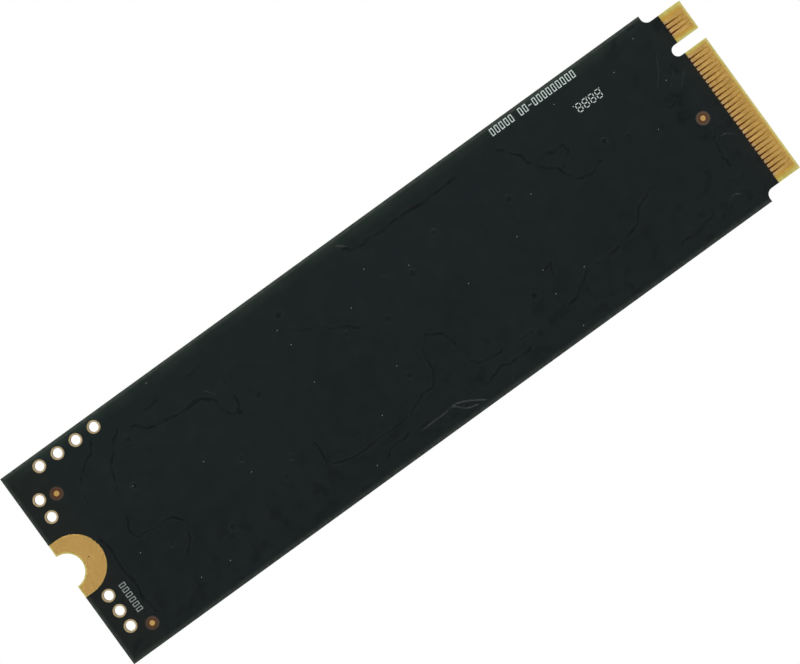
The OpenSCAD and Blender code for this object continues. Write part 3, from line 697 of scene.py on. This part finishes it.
def fillet(bm, end, way, height):
    """A hollow wedge of solder from the board up the outer face of one end."""
    size = (end[1] - end[0]) / 2
    side = Vector((-way.y, way.x, 0))
    face = middle(end) + way * abs(size.dot(way))
    half = abs(size.dot(side)) + FILLET_OVER
    rings = []
    for across, share in FILLET_RUN:
        reach = FILLET_REACH * share
        outline = [(-FILLET_INSET, 0.0), (reach, 0.0)]
        for k in range(1, FILLET_STEPS + 1):
            turn = math.radians(90 - 90 / FILLET_STEPS * k)
            outline.append((reach * (1 - math.cos(turn)), height * share * (1 - math.sin(turn))))
        outline.append((-FILLET_INSET, height * share))
        ring = []
        for out, up in outline:
            spot = face + way * out + side * across * half
            ring.append((spot.x, spot.y, FRONT_Z + up))
        rings.append(ring)
    loft(bm, rings)


def solder_fillets():
    bm = bmesh.new()
    for node, (body_node, height) in JOINTS.items():
        bodies = solid_boxes(body_node)
        for end in solid_boxes(node):
            fillet(bm, end, outward(end, bodies), height * MM)
    piece("solder_fillets", bm, "solder", 50)


solder_fillets()

# ---- Laser marks on the chips: rows of blank blocks and a code square ----

MARK_LIFT = 0.0015 * MM  # how far a mark stands out of the chip's face
MARK_SINK = 0.004 * MM  # and how far it goes in
LINE_PITCH = 1.9  # from one row of marks to the next, as a share of their height
CODE_CELLS = 10  # cells along each side of the code square
CODE_CELL = 0.22  # size of a cell, as a share of the marks' height


def plate(bm, x, y, length, width, top):
    """One flat mark, from its corner at x, y."""
    low = Vector((x, y, top - MARK_SINK))
    block(bm, low, Vector((x + length, y + width, top + MARK_LIFT)))


def chip_marks(name, node, rows, size, seed):
    """Marks in rows of blank blocks, size mm high, and a square of cells in the far corner."""
    low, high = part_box(node)
    dice = random.Random(seed)
    span = high - low
    unit = size * MM
    bm = bmesh.new()
    for row in range(rows):
        x = low.x + 0.2 * span.x
        y = low.y + 0.66 * span.y - row * LINE_PITCH * unit
        end = low.x + dice.uniform(0.5, 0.78) * span.x
        while x < end:
            length = unit * dice.choice((0.35, 0.55, 0.55, 0.75))
            plate(bm, x, y, length, unit, high.z)
            x += length + unit * dice.choice((0.25, 0.25, 0.25, 0.7))
    cell = unit * CODE_CELL
    code_x = high.x - 0.2 * span.x
    code_y = low.y + 0.12 * span.y
    for i in range(CODE_CELLS):
        for j in range(CODE_CELLS):
            if i == 0 or j == 0 or dice.random() < 0.5:
                plate(bm, code_x + i * cell, code_y + j * cell, cell, cell, high.z)
    piece(name, bm, "laser_mark", 30)


chip_marks("nand_marks_1", "nand_package_1", 3, 0.9, 11)
chip_marks("nand_marks_2", "nand_package_2", 3, 0.9, 12)
chip_marks("controller_marks", "controller_package", 4, 0.8, 13)
chip_marks("dram_marks", "dram_package", 3, 0.6, 14)
chip_marks("power_chip_marks", "power_chip_package", 2, 0.42, 15)
chip_marks("firmware_flash_marks", "firmware_flash_package", 2, 0.26, 16)

# ---- Relief of the outer copper under the mask ----

# Traces and pour edges that show through the back mask, as points in mm
BACK_TRACES = [
    [(9.2, -9), (8.8, -8), (7.2, -7.3), (5.9, -6), (5.5, -4.6)],
    [(12, -8.3), (10.6, -7.2), (8.8, -4.8), (8.5, -3)],
    [(13.1, -7.8), (15.2, -6.1), (20.4, -6), (21.2, -5), (21.3, -3.2), (22.8, -2.5)],
    [(23.1, -7.4), (23, -3.6), (22.2, -2.4)],
    [(7.8, -1), (7, 0.8), (8, 1.5), (11.4, 1.5), (12.3, 3), (11, 4.9), (9.4, 6.5)],
    [(4.3, -1.2), (4.6, -0.4), (4.6, 5), (4.5, 7.6), (5.3, 8.7)],
    [(26.6, 3.6), (26.5, 7.2), (32, 7.3), (35.6, 7.2)],
    [(35.6, 7.2), (37.4, 6.3), (39.8, 6.1), (40.1, 2.8), (41.5, 1.6), (43, 3), (43.1, 4.4)],
    [(31.4, 9.6), (31.8, 8.7), (35, 8.5), (37, 8.9)],
    [(43.2, 6.2), (44.3, 7.4), (47.2, 7.2), (50, 7.7)],
    [(43.6, 9.2), (45.2, 8.4), (47, 9), (49.6, 8.6)],
    [(53.6, 7.9), (56.2, 7), (57.2, 5.9), (63.2, 5.9), (65.5, 3.6), (67.6, 3)],
    [(53.4, 3.9), (55.4, 2.9), (54.6, 4.4)],
    [(57.2, -8.7), (58.9, -6.9), (59.1, -5.5), (61.2, -3.5), (61.6, -2.2), (63, -1.2), (65, -2)],
    [(60.2, -5.4), (62.8, -5.3), (63, -4.6), (61.4, -3.4)],
    [(30, -7), (33, -5), (35.8, -3.2), (37, -2.2)],
    [(14.2, -8.4), (16, -8.2), (19, -8.4), (22, -8.5)],
    [(39.6, -9.6), (40.8, -8.8), (42, -8.9), (45.4, -8.8), (54, -8.7)],
    [(72.6, -2.6), (73.6, -1.9), (74.2, -2.4)],
    [(74.7, 6), (74.5, 4.8), (74.8, 4.1), (74.8, 2.9), (75.7, 2), (76.7, 2.2)],
    [(66.2, 9.2), (69.4, 9.1), (71, 8.4)],
]
# Finer creases of the back mask that catch the light, in mm
BACK_CREASES = [
    [(35.4, 9), (38.9, 9), (39.4, 8.8), (40.4, 9.9), (41.6, 10.2)],
    [(38.4, 9.4), (39.2, 8.7), (40.8, 9.2), (42.6, 10.4)],
    [(73.1, -4.1), (74.4, -5.6), (75.2, -7.2)],
    [(74.1, -3.3), (75.9, -5.3)],
    [(75.1, -2.9), (76.5, -4.3)],
    [(75.5, 3.1), (76.1, 3), (77, 4)],
    [(71.8, 9.3), (73.1, 8.2), (73.9, 8.6)],
    [(45.6, 10.2), (46.4, 9.4)],
    [(20.9, -6.4), (21.6, -5.4)],
    [(39.2, -10.3), (40.2, -9.5)],
]
# Vias whose mask covers them on the back, in mm
BACK_VIAS = [
    (35.2, -2.7), (39.3, -1.6), (41.3, -4.7), (47.8, -5.7), (55.5, -4.1), (43.8, -3.7), (20, 1),
    (22.5, 5), (15.5, 5.9), (24, 3.7), (37.8, 4), (28, 5.9), (66.2, -3.2), (68.4, -2.2), (52, 4.9),
    (9.8, 3.7), (12.2, -6.9), (31, -8.1), (10.1, -2.9), (24.9, -3),
]


CREASE_H = 0.016 * MM  # how far the mask stands proud at a crease
CREASE_LOW = 0.0145 * MM  # and at the fainter creases near the contacts
NEAR_CONTACTS = 70  # these are past this place along the board, in mm
RELIEF_SINK = 0.001 * MM  # the rim of a ridge lies this far inside the mask


def eased(points):
    """A path in mm, with its corners cut twice, in metres."""
    path = [Vector(point) * MM for point in points]
    for _ in range(2):
        cut = [path[0]]
        for start, end in zip(path, path[1:]):
            cut += [start.lerp(end, 0.25), start.lerp(end, 0.75)]
        path = cut + [path[-1]]
    return path


def ridge(bm, points, width, face_z, out, height=RIDGE_H, wobble=0.0):
    """A low rounded ridge along a path in mm, on the face at face_z whose outside is out (-1 or 1).

    wobble makes its width and course uneven, as a share of its width.
    """
    path = eased(points)
    rings = []
    for i, place in enumerate(path):
        way = (path[min(i + 1, len(path) - 1)] - path[max(i - 1, 0)]).normalized()
        side = Vector((-way.y, way.x))
        rise = height if 0 < i < len(path) - 1 else 0.0
        half = width * MM / 2 * (1 + wobble * math.sin(2.3 * i))
        place = place + side * wobble * width * MM * 0.4 * math.sin(1.7 * i + width)
        ring = []
        for k in range(-4, 5):
            spot = place + side * half * k / 4
            lift = rise * (0.5 + 0.5 * math.cos(math.pi * k / 4)) - RELIEF_SINK
            ring.append((spot.x, spot.y, face_z + out * lift))
        for k in (4, -4):
            spot = place + side * half * k / 4
            ring.append((spot.x, spot.y, face_z - out * 6 * RELIEF_SINK))
        rings.append(ring)
    loft(bm, rings)


# Shares of a dome's radius, and its share of the height there
DOME = [(1.0, -0.45), (0.98, -0.04), (0.75, 0.25), (0.45, 0.75), (0.15, 1.0)]


def dome(bm, place, radius, height, face_z, out):
    """A low round rise, such as the mask over a via; its place and radius are in mm."""
    centre = Vector(place) * MM
    loft(bm, [circle(centre, radius * MM * r, face_z + out * height * t, 16) for r, t in DOME])


def back_relief():
    """Traces, creases and vias on the back, in widths that vary by turns."""
    bm = bmesh.new()
    for i, points in enumerate(BACK_TRACES):
        ridge(bm, points, 0.7 + 0.1 * (i % 3), BACK_Z, -1, wobble=0.35)
    for points in BACK_CREASES:
        height = CREASE_LOW if points[0][0] > NEAR_CONTACTS else CREASE_H
        ridge(bm, points, 0.16, BACK_Z, -1, height)
    for i, place in enumerate(BACK_VIAS):
        dome(bm, place, 0.4 + 0.08 * (i % 3), RIDGE_H, BACK_Z, -1)
    # The mask material paints shade on the tops of these ridges and domes, and a highlight on their
    # feet
    piece("back_trace_relief", bm, "solder_mask", 80)


def front_traces(bm, dice):
    """Traces between the chips and from the contacts, on the component face."""
    flash_end = (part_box("nand_package_2")[1] / MM).x
    cache_lo, cache_hi = [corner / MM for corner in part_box("dram_package")]
    chip_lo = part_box("controller_package")[0] / MM
    # From the cache to the controller
    for i in range(18):
        y = chip_lo.y + 0.9 + i * 0.62
        far_y = y + dice.uniform(-0.25, 0.25)
        run = [(cache_hi.x, y), (cache_hi.x + 0.8, y), (chip_lo.x - 0.7, far_y), (chip_lo.x, far_y)]
        ridge(bm, run, 0.14, FRONT_Z, 1)
    # From the flash to the cache
    for i in range(22):
        y = -7.6 + i * 0.7
        far_y = y + 0.2
        run = [(flash_end, y), (flash_end + 1, y), (cache_lo.x - 0.8, far_y), (cache_lo.x, far_y)]
        ridge(bm, run, 0.16, FRONT_Z, 1)
    # From the contacts inwards, with a break at the row of eight capacitors
    root = MASK_END_X / MM
    for i in range(8):
        y = -1.5 + i * 0.62
        far_y = y * 0.8 - 0.3
        ridge(bm, [(root, y - 0.1), (root - 1, y - 0.1), (74.8, y), (74.4, y)], 0.17, FRONT_Z, 1)
        ridge(bm, [(73.4, y), (72.4, y), (71.2, far_y), (70.4, far_y)], 0.17, FRONT_Z, 1)


def front_relief():
    """Traces and scattered vias on the component face."""
    bm = bmesh.new()
    dice = random.Random(7)
    front_traces(bm, dice)
    for _ in range(90):
        spot = dice.uniform(4.5, 76), dice.uniform(-10.2, 10.2)
        dome(bm, spot, 0.22, 0.008 * MM, FRONT_Z, 1)
    # The mask material paints shade on the tops of these ridges and domes, and a highlight on their
    # feet
    piece("front_trace_relief", bm, "solder_mask", 80)


back_relief()
front_relief()

# ---- Camera ----

ROLL = math.radians(35.96)  # how far the board's long axis rises to the right in the view
VIEW_W = 77.02 * MM  # width of the view across the board's back
AIM_RIGHT = 0.33 * MM  # how far the board's middle lies right of the view's middle
AIM_UP = 0.4 * MM  # and above it
LENS = 200.0  # long, for next to no perspective


def make_camera():
    data = bpy.data.cameras.new("camera")
    data.lens = LENS
    right = Vector((math.cos(ROLL), math.sin(ROLL), 0))
    up = Vector((math.sin(ROLL), -math.cos(ROLL), 0))
    back = right.cross(up)
    aim = Vector((TIP_X / 2, 0, BACK_Z)) - AIM_RIGHT * right - AIM_UP * up
    distance = VIEW_W * LENS / data.sensor_width
    data.clip_start = distance * 0.05
    data.clip_end = distance * 20
    camera = bpy.data.objects.new("camera", data)
    bpy.context.scene.collection.objects.link(camera)
    turn = Matrix((right, up, back)).transposed().to_4x4()
    camera.matrix_world = Matrix.Translation(aim + back * distance) @ turn
    bpy.context.scene.camera = camera


# ---- Floor, world and lights ----

FLOOR_HALF = 0.6
FLOOR_DROP = 0.03 * MM  # clear of the relief under the back
FLOOR_FADE = (0.12, 0.4)  # how far from the drive's middle the floor starts to fade, and is gone
MIDDLE = Vector((TIP_X / 2, 0, 0))


def floor_material():
    """Pale and matt, clear from below and far from the drive."""
    s = Surface("floor", Roughness=0.6)
    tone = s.blend(s.noise(20 * MM, 4), (0.80, 0.80, 0.80, 1.0), (0.84, 0.84, 0.835, 1.0))
    s.set("Base Color", tone)
    s.set("Normal", s.bump(s.noise(0.6 * MM, 3), 0.02 * MM))
    from_below = s.add("ShaderNodeNewGeometry").outputs["Backfacing"]
    far = s.ramp(s.away_from(MIDDLE), *FLOOR_FADE)
    choice = s.add("ShaderNodeMixShader")
    s.feed(choice.inputs[0], s.calc("MAXIMUM", from_below, far))
    s.feed(choice.inputs[1], s.shader.outputs[0])
    s.feed(choice.inputs[2], s.add("ShaderNodeBsdfTransparent").outputs[0])
    s.feed(s.tree.nodes["Material Output"].inputs["Surface"], choice.outputs[0])
    return s.material


def make_floor():
    """A floor just under the drive, which casts no shadow and isn't mirrored in the board."""
    half = FLOOR_HALF
    corners = [(-half, -half), (half, -half), (half, half), (-half, half)]
    mesh = bpy.data.meshes.new("floor")
    mesh.from_pydata([(x, y, BACK_Z - FLOOR_DROP) for x, y in corners], [], [(0, 1, 2, 3)])
    mesh.materials.append(floor_material())
    floor = bpy.data.objects.new("floor", mesh)
    bpy.context.scene.collection.objects.link(floor)
    floor.visible_shadow = False
    floor.visible_glossy = False


# Between these heights, as the sine of the angle from level, the world's light falls from the
# first strength to the second
SKY_HEIGHTS = (0.15, 0.97)
SKY_STRENGTHS = (0.4, 0.03)


def sky_strength(tree):
    """The strength of the world's light, by how far its direction is from level."""
    place = tree.nodes.new("ShaderNodeTexCoord").outputs["Generated"]
    split = tree.nodes.new("ShaderNodeSeparateXYZ")
    tree.links.new(place, split.inputs[0])
    height = tree.nodes.new("ShaderNodeMath")
    height.operation = "ABSOLUTE"
    tree.links.new(split.outputs[2], height.inputs[0])
    fade = tree.nodes.new("ShaderNodeMapRange")
    fade.interpolation_type = "SMOOTHSTEP"
    for socket, value in zip(fade.inputs[1:5], SKY_HEIGHTS + SKY_STRENGTHS):
        socket.default_value = value
    tree.links.new(height.outputs[0], fade.inputs[0])
    return fade.outputs[0]


def make_world():
    """White to the eye; as light, dim straight up and down and brighter near the horizon."""
    world = bpy.data.worlds.new("world")
    bpy.context.scene.world = world
    world.use_nodes = True
    tree = world.node_tree
    tree.nodes.clear()
    light = tree.nodes.new("ShaderNodeBackground")
    tree.links.new(sky_strength(tree), light.inputs["Strength"])
    seen = tree.nodes.new("ShaderNodeBackground")
    seen.inputs["Color"].default_value = (1, 1, 1, 1)
    path = tree.nodes.new("ShaderNodeLightPath")
    choice = tree.nodes.new("ShaderNodeMixShader")
    tree.links.new(path.outputs["Is Camera Ray"], choice.inputs[0])
    tree.links.new(light.outputs[0], choice.inputs[1])
    tree.links.new(seen.outputs[0], choice.inputs[2])
    output = tree.nodes.new("ShaderNodeOutputWorld")
    tree.links.new(choice.outputs[0], output.inputs["Surface"])


LIGHT_DISTANCE = 0.5
# Each light's azimuth and elevation in degrees, size in metres and power in watts
SOFTBOXES = {
    "key": (20, 42, 0.35, 1.7),
    "fill": (200, 42, 0.35, 1.3),
    "left": (290, 38, 0.3, 0.8),
    "right": (110, 38, 0.3, 0.8),
}


def softbox(name, azimuth, elevation, size, watts):
    """A square area light that faces the drive's middle."""
    data = bpy.data.lights.new(name, "AREA")
    data.size = size
    data.energy = watts
    light = bpy.data.objects.new(name, data)
    bpy.context.scene.collection.objects.link(light)
    a = math.radians(azimuth)
    e = math.radians(elevation)
    way = Vector((math.sin(a) * math.cos(e), -math.cos(a) * math.cos(e), math.sin(e)))
    light.location = MIDDLE + way * LIGHT_DISTANCE
    light.rotation_mode = "QUATERNION"
    light.rotation_quaternion = way.to_track_quat("Z", "Y")


make_camera()
make_floor()
make_world()
bpy.context.scene.view_settings.view_transform = "Standard"
for side, level in ((-1, "below"), (1, "above")):
    for name, (azimuth, elevation, size, watts) in SOFTBOXES.items():
        softbox(level + "_" + name, azimuth, elevation * side, size, watts)
